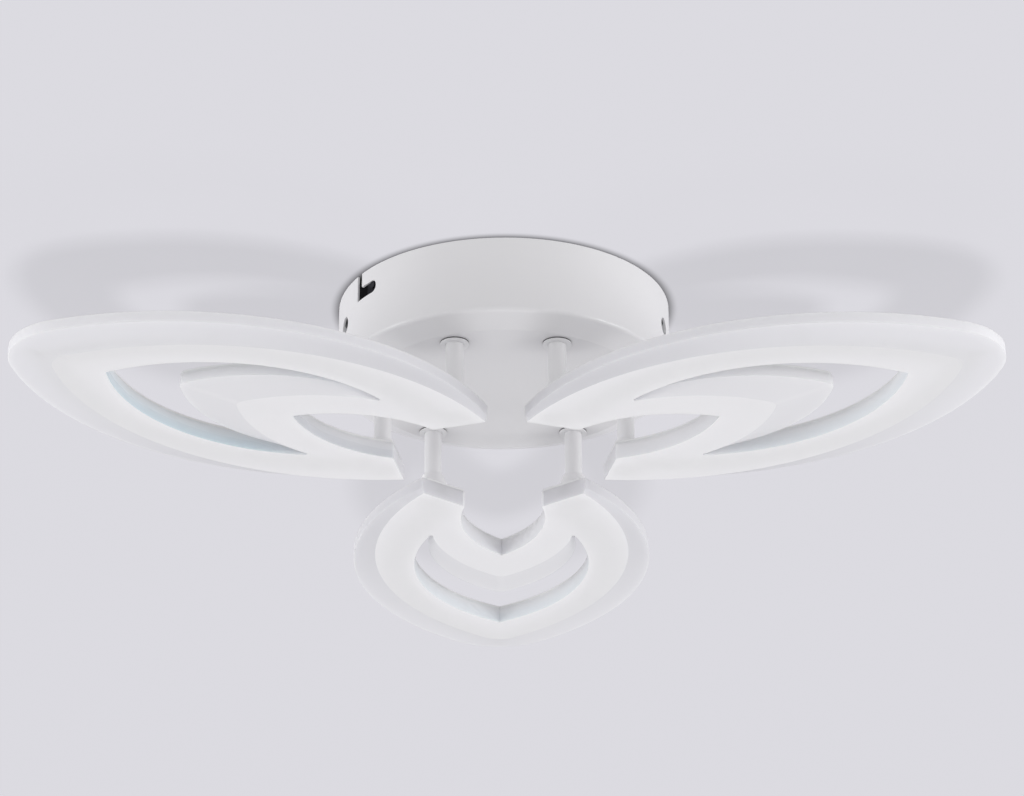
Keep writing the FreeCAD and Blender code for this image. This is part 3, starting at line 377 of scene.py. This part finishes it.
class Finish:
    """The nodes of one material or world."""

    def __init__(self, tree):
        self.tree = tree
        tree.nodes.clear()

    def node(self, kind, settings=None, sockets=None, output=0):
        """Add a node, set it up, feed its sockets and give one of its outputs."""
        made = self.tree.nodes.new(kind)
        for name, value in (settings or {}).items():
            setattr(made, name, value)
        for name, value in (sockets or {}).items():
            self.feed(made.inputs[name], value)
        return Signal(self, made.outputs[output]) if made.outputs else None

    def feed(self, socket, value):
        """Link a signal to a socket, or write a plain value on it."""
        if isinstance(value, Signal):
            self.tree.links.new(value.socket, socket)
        elif socket.type == "RGBA":
            socket.default_value = (*value[:3], 1.0)
        else:
            socket.default_value = value

    def place(self, turn=0.0):
        """Position on the piece, turned about the lamp's axis, as x, y and z signals."""
        point = self.point(turn)
        axes = ("X", "Y", "Z")
        return [self.node("ShaderNodeSeparateXYZ", {}, {0: point}, axis) for axis in axes]

    def point(self, turn=0.0):
        """Position on the piece as a vector signal."""
        point = self.node("ShaderNodeTexCoord", {}, {}, "Object")
        if turn:
            sockets = {"Vector": point, "Rotation": (0, 0, turn)}
            point = self.node("ShaderNodeMapping", {"vector_type": "POINT"}, sockets)
        return point

    def noise(self, size, detail=NOISE_DETAIL, stretch=None):
        """Cloudy noise from 0 to 1 with features of the given size."""
        point = self.point()
        if stretch:
            point = self.node("ShaderNodeMapping", {}, {"Vector": point, "Scale": stretch})
        sockets = {"Vector": point, "Scale": 1 / size, "Detail": detail, "Roughness": NOISE_ROUGHNESS}
        return self.node("ShaderNodeTexNoise", {}, sockets)

    def cells(self, size):
        """Flat cells of the given size, each in a colour of its own."""
        return self.node("ShaderNodeTexVoronoi", {}, {"Vector": self.point(), "Scale": 1 / size}, "Color")

    def grey(self, tint):
        """The brightness of a colour signal."""
        return self.node("ShaderNodeRGBToBW", {}, {0: tint})

    def mix(self, factor, first, second):
        """Blend from the first colour to the second."""
        settings = {"data_type": "RGBA", "clamp_factor": True}
        sockets = {0: factor, MIX_FIRST: first, MIX_SECOND: second}
        return self.node("ShaderNodeMix", settings, sockets, MIX_RESULT)

    def rounded(self, radius):
        """Normal with the edges rounded off."""
        return self.node("ShaderNodeBevel", {"samples": ROUND_SAMPLES}, {"Radius": radius})

    def bump(self, height, distance, strength, normal=None):
        """Normal raised by a height signal."""
        sockets = {"Height": height, "Distance": distance, "Strength": strength}
        if normal:
            sockets["Normal"] = normal
        return self.node("ShaderNodeBump", {}, sockets)

    def facing(self, axis):
        """How far the surface faces along an axis, from -1 to 1."""
        normal = self.node("ShaderNodeNewGeometry", {}, {}, "True Normal")
        return self.node("ShaderNodeSeparateXYZ", {}, {0: normal}, axis)

    def outward(self):
        """1 on walls that face away from the lamp's axis and -1 on walls that face it."""
        x, y, _ = self.place()
        return (self.facing("X") * x + self.facing("Y") * y) / (x * x + y * y).root()

    def surface(self, sockets):
        """End the material in a Principled shader."""
        shader = self.node("ShaderNodeBsdfPrincipled", {}, sockets)
        self.node("ShaderNodeOutputMaterial", {}, {"Surface": shader}, None)


def new_finish(name):
    """A new material and its nodes."""
    material = bpy.data.materials.new(name)
    material.use_nodes = True
    return material, Finish(material.node_tree)


def dress(names, material):
    """Give the named CAD parts one material."""
    for name in names:
        slots = NODES[name].material_slots
        for slot in slots:
            slot.material = material


def nodes_named(start, end=""):
    """The names of the CAD parts that start and end with the given words."""
    return [name for name in sorted(NODES) if name.startswith(start) and name.endswith(end)]


def scaled(shade, share):
    """A colour made darker or lighter."""
    return tuple(min(1.0, share * part) for part in shade)


# Finishes


def enamel(look, name, joint=None):
    """Smooth sprayed enamel with a faint orange peel, and a dark seam of painted shade just below a joint,
    for the gap there and its contact shadow.
    """
    material, f = new_finish(name)
    tint = f.mix(f.noise(CLOUD_SIZE), look.posts, scaled(look.posts, ENAMEL_THIN))
    if joint is not None:
        _, _, z = f.place()
        # Painted shade: a dark seam for the gap below the joint and its contact shadow
        tint = f.mix(z > joint - SEAM_SHADE_DEPTH, tint, look.seam)
    roughness = look.enamel_gloss + ENAMEL_PATCHES * f.noise(PATCH_SIZE)
    peel = f.noise(look.peel_size, SMOOTH_DETAIL)
    f.surface({
        "Base Color": tint,
        "Roughness": roughness,
        "Coat Weight": ENAMEL_COAT,
        "Coat Roughness": ENAMEL_COAT_ROUGHNESS,
        "Normal": f.bump(peel, PEEL_HEIGHT, PEEL_STRENGTH, f.rounded(ENAMEL_ROUND)),
    })
    return material


def canopy_enamel(look):
    """Enamel outside, and thin overspray on grey primer inside the canopy, whose grey is partly painted
    shade for the dark inside of the closed canopy.
    """
    material, f = new_finish("canopy_enamel")
    inside = 1 - (1 - f.outward().step(*INWARD_FACE)) * (1 - f.facing("Z").step(*UPWARD_FACE))
    # The primer inside is partly painted shade for the unlit inside of the canopy
    overspray = inside * (PRIMER_LEAST + (1 - PRIMER_LEAST) * f.noise(OVERSPRAY_SIZE))
    paint = f.mix(f.noise(CLOUD_SIZE), look.canopy, scaled(look.canopy, ENAMEL_THIN))
    roughness = look.enamel_gloss + ENAMEL_PATCHES * f.noise(PATCH_SIZE) + PRIMER_ROUGHNESS * inside
    peel = f.noise(look.peel_size, SMOOTH_DETAIL)
    f.surface({
        "Base Color": f.mix(overspray, paint, look.primer),
        "Roughness": roughness,
        "Coat Weight": ENAMEL_COAT * (1 - inside),
        "Coat Roughness": ENAMEL_COAT_ROUGHNESS,
        "Normal": f.bump(peel, PEEL_HEIGHT, PEEL_STRENGTH, f.rounded(ENAMEL_ROUND)),
    })
    return material


def beyond(arc, u, v):
    """How far a place on a petal lies outside an arc and the arc's mirror image."""
    across = abs(v) - arc[1]
    along = u - arc[0]
    return (along * along + across * across).root() - arc[2]


def opal_acrylic(look, petal):
    """Milky acrylic, greyer with painted shade on its sloping rim and walls, lighter towards the tips as
    painted light, and cooler on the polished walls of its cut-outs, partly its own tint and partly painted
    shade.
    """
    material, f = new_finish(f"opal_acrylic_{petal}")
    u, v, z = f.place(-math.radians(PETAL_ANGLES[petal]))
    past_crescent = beyond(CRESCENT_ARC, u, v)
    tilt = abs(f.facing("Z"))
    milk = f.mix(f.noise(MILK_SIZE, RICH_DETAIL), look.acrylic, look.acrylic_cloud)
    # Painted shade on the rim and outer walls, eased towards the tip as painted light
    rim = f.mix(u.step(*RIM_SHADE_EASE), look.acrylic_rim_shade, look.acrylic_tip_shade)
    rim_shade_share = LEAF_RIM_SHADE_SHARE + (1 - LEAF_RIM_SHADE_SHARE) * (past_crescent > WALL_MARGIN)
    by_crescent = abs(past_crescent) < WALL_MARGIN
    by_notch = abs(beyond(NOTCH_ARC, u, v)) < WALL_MARGIN
    by_cut = 1 - (1 - by_crescent) * (1 - by_notch)
    tint = f.mix(rim_shade_share * (1 - by_cut) * (1 - tilt.step(*LEVEL_FACE)), milk, rim)
    # Painted shade on the cut walls: stronger towards their bottom, less towards the crescent's horns, and
    # set per petal
    depth = z.step(LENS_HIGH.z, LENS_LOW.z)
    cut = by_notch + (1 - by_notch) * by_crescent * u.step(*CUT_SHADE_HORN_FADE)
    cut = cut * tilt.step(*STEEP_FACE) * CUT_SHADE_SHARES[petal] * (CUT_SHADE_LEAST + (1 - CUT_SHADE_LEAST) * depth)
    tint = f.mix(cut, tint, f.mix(by_notch, look.acrylic_cut_tint_and_shade, look.acrylic_notch_tint_and_shade))
    roughness = look.acrylic_gloss + ACRYLIC_PATCHES * f.noise(PATCH_SIZE) - CUT_POLISH * cut
    satin = f.noise(SATIN_SIZE, SMOOTH_DETAIL)
    f.surface({
        "Base Color": tint,
        "Roughness": roughness,
        "Normal": f.bump(satin, SATIN_HEIGHT, SATIN_STRENGTH, f.rounded(look.acrylic_round)),
        "Specular IOR Level": ACRYLIC_SPECULAR,
        "Subsurface Weight": ACRYLIC_SCATTER,
        "Subsurface Radius": ACRYLIC_SPREAD,
        "Subsurface Scale": ACRYLIC_DEPTH,
    })
    return material


def plate_paint(look):
    """Fine-textured satin powder coat."""
    material, f = new_finish("plate_paint")
    grains = f.noise(GRAIN_SIZE, SMOOTH_DETAIL)
    f.surface({
        "Base Color": f.mix(f.noise(CLOUD_SIZE), look.plate, scaled(look.plate, PLATE_THIN)),
        "Roughness": look.plate_gloss + PLATE_PATCHES * grains,
        "Normal": f.bump(grains, GRAIN_HEIGHT, GRAIN_STRENGTH, f.rounded(ENAMEL_ROUND)),
    })
    return material


def plated(name, shade, rough):
    """Plated metal with flat crystal patches and fine rubbing marks."""
    material, f = new_finish(name)
    patches = f.grey(f.cells(SPANGLE_SIZE))
    rubs = f.noise(RUB_SIZE, RICH_DETAIL, RUB_STRETCH)
    f.surface({
        "Base Color": f.mix(patches, scaled(shade, SPANGLE_DARK), scaled(shade, SPANGLE_LIGHT)),
        "Roughness": rough + SPANGLE_PATCHES * patches + RUB_PATCHES * rubs,
        "Metallic": 1.0,
        "Normal": f.bump(rubs, RUB_HEIGHT, RUB_STRENGTH, f.rounded(METAL_ROUND)),
    })
    return material


def moulded(name, shade, texture, rough):
    """Moulded plastic with the spark-eroded texture of its mould."""
    material, f = new_finish(name)
    marks = f.noise(texture)
    f.surface({
        "Base Color": f.mix(f.noise(FLOW_SIZE), shade, scaled(shade, FLOW_THIN)),
        "Roughness": rough + TEXTURE_PATCHES * marks,
        "Normal": f.bump(marks, TEXTURE_HEIGHT, TEXTURE_STRENGTH, f.rounded(PLASTIC_ROUND)),
    })
    return material


def insulation(name, first, second=None, edge=None):
    """Soft wire insulation, in one colour or in two that meet at a height."""
    material, f = new_finish(name)
    marks = f.noise(SHEATH_SIZE)
    tint = f.mix(marks, first, scaled(first, SHEATH_SHADE))
    if second:
        _, _, z = f.place()
        tint = f.mix(z > edge, tint, second)
    f.surface({
        "Base Color": tint,
        "Roughness": SHEATH_ROUGHNESS + SHEATH_PATCHES * marks,
        "Normal": f.bump(marks, SHEATH_HEIGHT, SHEATH_STRENGTH),
    })
    return material


def light_chip(look):
    """Yellow phosphor on the face of a white moulded chip."""
    material, f = new_finish("light_chip")
    down = f.facing("Z") < DOWNWARD_FACE
    grains = f.noise(GRAIN_SIZE)
    phosphor = f.mix(grains, look.phosphor, scaled(look.phosphor, CHIP_SHADE))
    f.surface({
        "Base Color": f.mix(down, look.board, phosphor),
        "Roughness": CHIP_ROUGHNESS + CHIP_PATCHES * grains,
    })
    return material


# Pieces


class LampOperator:
    """What the lamp's operators share."""

    bl_options = {"REGISTER", "UNDO"}

    @staticmethod
    def look():
        """The lamp's finishes."""
        return bpy.context.scene.lamp_finishes


class LAMP_OT_dress_canopy(LampOperator, bpy.types.Operator):
    """Enamel the canopy, the posts, their collars and their feet"""

    bl_idname = "lamp.dress_canopy"
    bl_label = "Dress canopy and posts"

    def execute(self, context):
        look = self.look()
        dress(["canopy"], canopy_enamel(look))
        collars = nodes_named("collar_")
        feet = [name for name in nodes_named("foot_") if name not in PLATED_PARTS]
        posts = [name for name in nodes_named("post_") if name not in PLATED_PARTS]
        dress(feet + posts, enamel(look, "white_enamel"))
        dress(collars, enamel(look, "collar_enamel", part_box(collars[0])[1].z))
        return {"FINISHED"}


class LAMP_OT_dress_petals(LampOperator, bpy.types.Operator):
    """Give the petals their opal acrylic and painted back plates"""

    bl_idname = "lamp.dress_petals"
    bl_label = "Dress petals"

    def execute(self, context):
        look = self.look()
        for petal in PETAL_ANGLES:
            dress([f"petal_{petal}_lens"], opal_acrylic(look, petal))
        dress(nodes_named("petal_", "_plate"), plate_paint(look))
        return {"FINISHED"}


class LAMP_OT_dress_lights(LampOperator, bpy.types.Operator):
    """Finish the light boards, their chips and their connectors"""

    bl_idname = "lamp.dress_lights"
    bl_label = "Dress light boards"

    def execute(self, context):
        look = self.look()
        board = moulded("board_mask", look.board, GRAIN_SIZE, BOARD_ROUGHNESS)
        connector = moulded("connector_nylon", look.connector, GRAIN_SIZE, CONNECTOR_ROUGHNESS)
        dress(nodes_named("petal_", "_led_board"), board)
        dress(nodes_named("petal_", "_led_chips"), light_chip(look))
        dress(nodes_named("petal_", "_connector"), connector)
        return {"FINISHED"}


class LAMP_OT_dress_metal(LampOperator, bpy.types.Operator):
    """Plate the bracket, the nuts, the screws and the brass parts"""

    bl_idname = "lamp.dress_metal"
    bl_label = "Dress metal parts"

    def execute(self, context):
        look = self.look()
        screws = nodes_named("petal_", "_screws")
        dress(PLATED_PARTS + screws, plated("zinc_plate", look.zinc, ZINC_ROUGHNESS))
        # The black oxide is partly painted shade for the dark inside of the canopy
        dress(BLACK_PARTS, plated("black_oxide", look.black, BLACK_ROUGHNESS))
        dress(BRASS_PARTS, plated("brass", look.brass, BRASS_ROUGHNESS))
        return {"FINISHED"}


class LAMP_OT_dress_driver(LampOperator, bpy.types.Operator):
    """Finish the driver's case and the terminal block"""

    bl_idname = "lamp.dress_driver"
    bl_label = "Dress driver"

    def execute(self, context):
        look = self.look()
        case = moulded("driver_case", look.driver, MOULD_SIZE, DRIVER_ROUGHNESS)
        dress(["driver_base", "driver_cover"], case)
        dress(["terminal_block"], moulded("terminal_nylon", look.terminal, GRAIN_SIZE, TERMINAL_ROUGHNESS))
        return {"FINISHED"}


class LAMP_OT_dress_wires(LampOperator, bpy.types.Operator):
    """Colour the mains wires, the earth wire and the petal leads"""

    bl_idname = "lamp.dress_wires"
    bl_label = "Dress wires"

    def execute(self, context):
        look = self.look()
        low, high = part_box("mains_wires")
        between = (low.z + high.z) / 2
        dress(["mains_wires"], insulation("mains_wire", look.live, look.neutral, between))
        low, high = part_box("earth_lead")
        stripe = low.z + EARTH_STRIPE * (high.z - low.z)
        dress(["earth_lead"], insulation("earth_wire", look.earth_green, look.earth_yellow, stripe))
        dress(nodes_named("petal_", "_lead"), insulation("lead_sheath", look.lead))
        return {"FINISHED"}


class LAMP_OT_add_bushes(LampOperator, bpy.types.Operator):
    """Add the moulded bushes where wires leave the driver"""

    bl_idname = "lamp.add_bushes"
    bl_label = "Add wire bushes"

    def execute(self, context):
        material = bpy.data.materials["driver_case"]
        cover_low, cover_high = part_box("driver_cover")
        exits = [("lead", cover_high.x, 1, spot) for spot in LEAD_EXITS]
        exits += [("mains", cover_low.x, -1, spot) for spot in MAINS_EXITS]
        for number, (kind, x, way, (y, z)) in enumerate(exits, 1):
            bush = wire_bush(f"{kind}_bush_{number}", way)
            bush.data.transform(Matrix.Translation((x, y, z)))
            bush.data.materials.append(material)
            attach(bush, "lamp")
        return {"FINISHED"}


def wire_bush(name, way):
    """A flanged ring along X, spun from its section."""
    section = [
        (0, BUSH_BORE),
        (0, BUSH_FLANGE),
        (BUSH_FLANGE_DEPTH, BUSH_FLANGE),
        (BUSH_FLANGE_DEPTH, BUSH_NECK),
        (BUSH_LENGTH, BUSH_END),
        (BUSH_LENGTH, BUSH_BORE),
    ]
    mesh = bmesh.new()
    corners = [mesh.verts.new((way * along, out, 0)) for along, out in section]
    sides = [mesh.edges.new((a, b)) for a, b in zip(corners, corners[1:] + corners[:1])]
    bmesh.ops.spin(
        mesh, geom=corners + sides, cent=(0, 0, 0), axis=(1, 0, 0),
        angle=2 * math.pi, steps=BUSH_SIDES, use_merge=True,
    )
    bmesh.ops.remove_doubles(mesh, verts=mesh.verts, dist=MERGE_DISTANCE)
    bmesh.ops.recalc_face_normals(mesh, faces=mesh.faces)
    sharp = [e for e in mesh.edges if e.is_manifold and e.calc_face_angle() > BUSH_CREASE]
    bmesh.ops.bevel(
        mesh, geom=sharp, offset=BUSH_ROUND, affect="EDGES", segments=2, profile=0.5, material=-1
    )
    for face in mesh.faces:
        face.smooth = True
    return finished(name, mesh)


def finished(name, mesh):
    """An object at the origin from a bmesh."""
    data = bpy.data.meshes.new(name)
    mesh.to_mesh(data)
    mesh.free()
    piece = bpy.data.objects.new(name, data)
    bpy.context.scene.collection.objects.link(piece)
    return piece


# Stage


class LAMP_OT_set_stage(LampOperator, bpy.types.Operator):
    """Set the ceiling, the studio light and the camera"""

    bl_idname = "lamp.set_stage"
    bl_label = "Set stage"

    def execute(self, context):
        scene = context.scene
        scene.view_settings.view_transform = "Standard"
        stage = scene.lamp_stage
        ceiling = ceiling_sheet(stage)
        set_world(scene, stage)
        for name, way in STUDIO_WAYS.items():
            watts = getattr(stage, f"{name}_power")
            studio_lamp(f"{name}_lamp", LAMP_SIDE, watts, way, stage.lamp_distance)
        set_shadow_lamp(stage, ceiling)
        set_camera(scene, stage)
        return {"FINISHED"}


def ceiling_sheet(stage):
    """The ceiling, seen only from below, with painted shade over the canopy and a painted contact shadow
    round its rim.
    """
    mesh = bmesh.new()
    bmesh.ops.create_grid(mesh, x_segments=1, y_segments=1, size=stage.ceiling_side / 2)
    bmesh.ops.reverse_faces(mesh, faces=mesh.faces)
    bmesh.ops.translate(mesh, verts=mesh.verts, vec=(0, 0, CAD_BOX[1].z + CEILING_GAP))
    ceiling = finished("ceiling", mesh)
    material, f = new_finish("ceiling_paint")
    x, y, _ = f.place()
    radius = (x * x + y * y).root()
    # Painted shade over the canopy, fading out past its rim as a painted contact shadow
    outside_painted_shade = radius.step(CANOPY_RADIUS - CONTACT_INSIDE, CANOPY_RADIUS + CONTACT_OUTSIDE)
    glow = f.mix(outside_painted_shade, PAINTED_CONTACT_SHADE, stage.ceiling)
    paint = f.mix(outside_painted_shade, PAINTED_CONTACT_SHADE, scaled(stage.ceiling, stage.ceiling_paint))
    # The glow leaves out what the shadow lamp adds, so the ceiling is even where no shadow falls
    lamp = stage.lamp_distance * Vector(SHADOW_WAY).normalized()
    away = (x - lamp.x) * (x - lamp.x) + (y - lamp.y) * (y - lamp.y) + lamp.z ** 2
    facing = lamp.length_squared - x * lamp.x - y * lamp.y
    lamp_share = stage.ceiling_shade * lamp.length_squared * facing / (away * away)
    lit = f.node("ShaderNodeEmission", {}, {"Color": glow, "Strength": stage.ceiling_glow - lamp_share})
    shaded = f.node("ShaderNodeBsdfDiffuse", {}, {"Color": paint})
    sheet = f.node("ShaderNodeAddShader", {}, {0: lit, 1: shaded})
    seen = f.node("ShaderNodeLightPath", {}, {}, "Is Camera Ray")
    behind = f.node("ShaderNodeNewGeometry", {}, {}, "Backfacing")
    clear = f.node("ShaderNodeBsdfTransparent")
    shown = f.node("ShaderNodeMixShader", {}, {0: seen * (1 - behind), 1: clear, 2: sheet})
    f.node("ShaderNodeOutputMaterial", {}, {"Surface": shown}, None)
    ceiling.data.materials.append(material)
    return ceiling


def set_world(scene, stage):
    """Even light from all round, and a pale backdrop for what looks at it."""
    world = bpy.data.worlds.new("studio")
    world.use_nodes = True
    scene.world = world
    f = Finish(world.node_tree)
    rays = ("Is Camera Ray", "Is Glossy Ray", "Is Transmission Ray")
    looked_at = sum(f.node("ShaderNodeLightPath", {}, {}, ray) for ray in rays)
    light = f.node("ShaderNodeBackground", {}, {"Color": WHITE, "Strength": stage.ambient})
    backdrop = f.node("ShaderNodeBackground", {}, {"Color": stage.ceiling})
    both = f.node("ShaderNodeMixShader", {}, {0: looked_at, 1: light, 2: backdrop})
    f.node("ShaderNodeOutputWorld", {}, {"Surface": both}, None)


def studio_lamp(name, side, watts, way, distance):
    """A square soft lamp that stands one way from the light and shines on it."""
    data = bpy.data.lights.new(name, "AREA")
    data.size = side
    data.energy = watts
    lamp = bpy.data.objects.new(name, data)
    direction = Vector(way).normalized()
    lamp.location = direction * distance
    lamp.rotation_euler = direction.to_track_quat("Z", "Y").to_euler()
    bpy.context.scene.collection.objects.link(lamp)
    return lamp


def set_shadow_lamp(stage, ceiling):
    """A lamp that shines on the ceiling alone and casts the lamp's shadow there."""
    direction = Vector(SHADOW_WAY).normalized()
    reach = (math.pi * stage.lamp_distance) ** 2
    watts = stage.ceiling_shade * reach / (-direction.z * stage.ceiling_paint)
    lamp = studio_lamp("shadow_lamp", SHADOW_LAMP_SIDE, watts, SHADOW_WAY, stage.lamp_distance)
    receivers = bpy.data.collections.new("shadow_receivers")
    receivers.objects.link(ceiling)
    lamp.light_linking.receiver_collection = receivers


def set_camera(scene, stage):
    """The camera in front of the lamp and below it, looking up."""
    data = bpy.data.cameras.new("camera")
    data.sensor_width = SENSOR_WIDTH
    data.lens = stage.camera_lens
    data.shift_x = stage.camera_shift
    camera = bpy.data.objects.new("camera", data)
    round_axis = Matrix.Rotation(stage.camera_turn, 3, "Z")
    upward = Matrix.Rotation(math.pi / 2 + stage.camera_pitch, 3, "X")
    roll = Matrix.Rotation(stage.camera_roll, 3, "Z")
    camera.location = round_axis @ Vector((0, -stage.camera_back, -stage.camera_drop))
    camera.rotation_euler = (round_axis @ upward @ roll).to_euler()
    scene.collection.objects.link(camera)
    scene.camera = camera


class LAMP_PT_sidebar(bpy.types.Panel):
    """The lamp's colours, sizes and steps in the sidebar."""

    bl_idname = "LAMP_PT_sidebar"
    bl_label = "Ceiling Light"
    bl_space_type = "VIEW_3D"
    bl_region_type = "UI"
    bl_category = "Ceiling Light"

    def draw(self, context):
        for settings in (context.scene.lamp_finishes, context.scene.lamp_stage):
            for name in settings.__annotations__:
                self.layout.prop(settings, name)
        for operator in STEPS:
            self.layout.operator(operator.bl_idname)


STEPS = (
    LAMP_OT_dress_canopy,
    LAMP_OT_dress_petals,
    LAMP_OT_dress_lights,
    LAMP_OT_dress_metal,
    LAMP_OT_dress_driver,
    LAMP_OT_dress_wires,
    LAMP_OT_add_bushes,
    LAMP_OT_set_stage,
)
CLASSES = (LampFinishes, LampStage, *STEPS, LAMP_PT_sidebar)


def register():
    """Add the lamp's classes and settings to Blender."""
    for cls in CLASSES:
        bpy.utils.register_class(cls)
    bpy.types.Scene.lamp_finishes = PointerProperty(type=LampFinishes)
    bpy.types.Scene.lamp_stage = PointerProperty(type=LampStage)


def unregister():
    """Take them out again."""
    del bpy.types.Scene.lamp_stage
    del bpy.types.Scene.lamp_finishes
    for cls in reversed(CLASSES):
        bpy.utils.unregister_class(cls)


def main():
    """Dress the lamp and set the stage."""
    register()
    bpy.ops.lamp.dress_canopy()
    bpy.ops.lamp.dress_petals()
    bpy.ops.lamp.dress_lights()
    bpy.ops.lamp.dress_metal()
    bpy.ops.lamp.dress_driver()
    bpy.ops.lamp.dress_wires()
    bpy.ops.lamp.add_bushes()
    bpy.ops.lamp.set_stage()


if __name__ == "__main__":
    main()
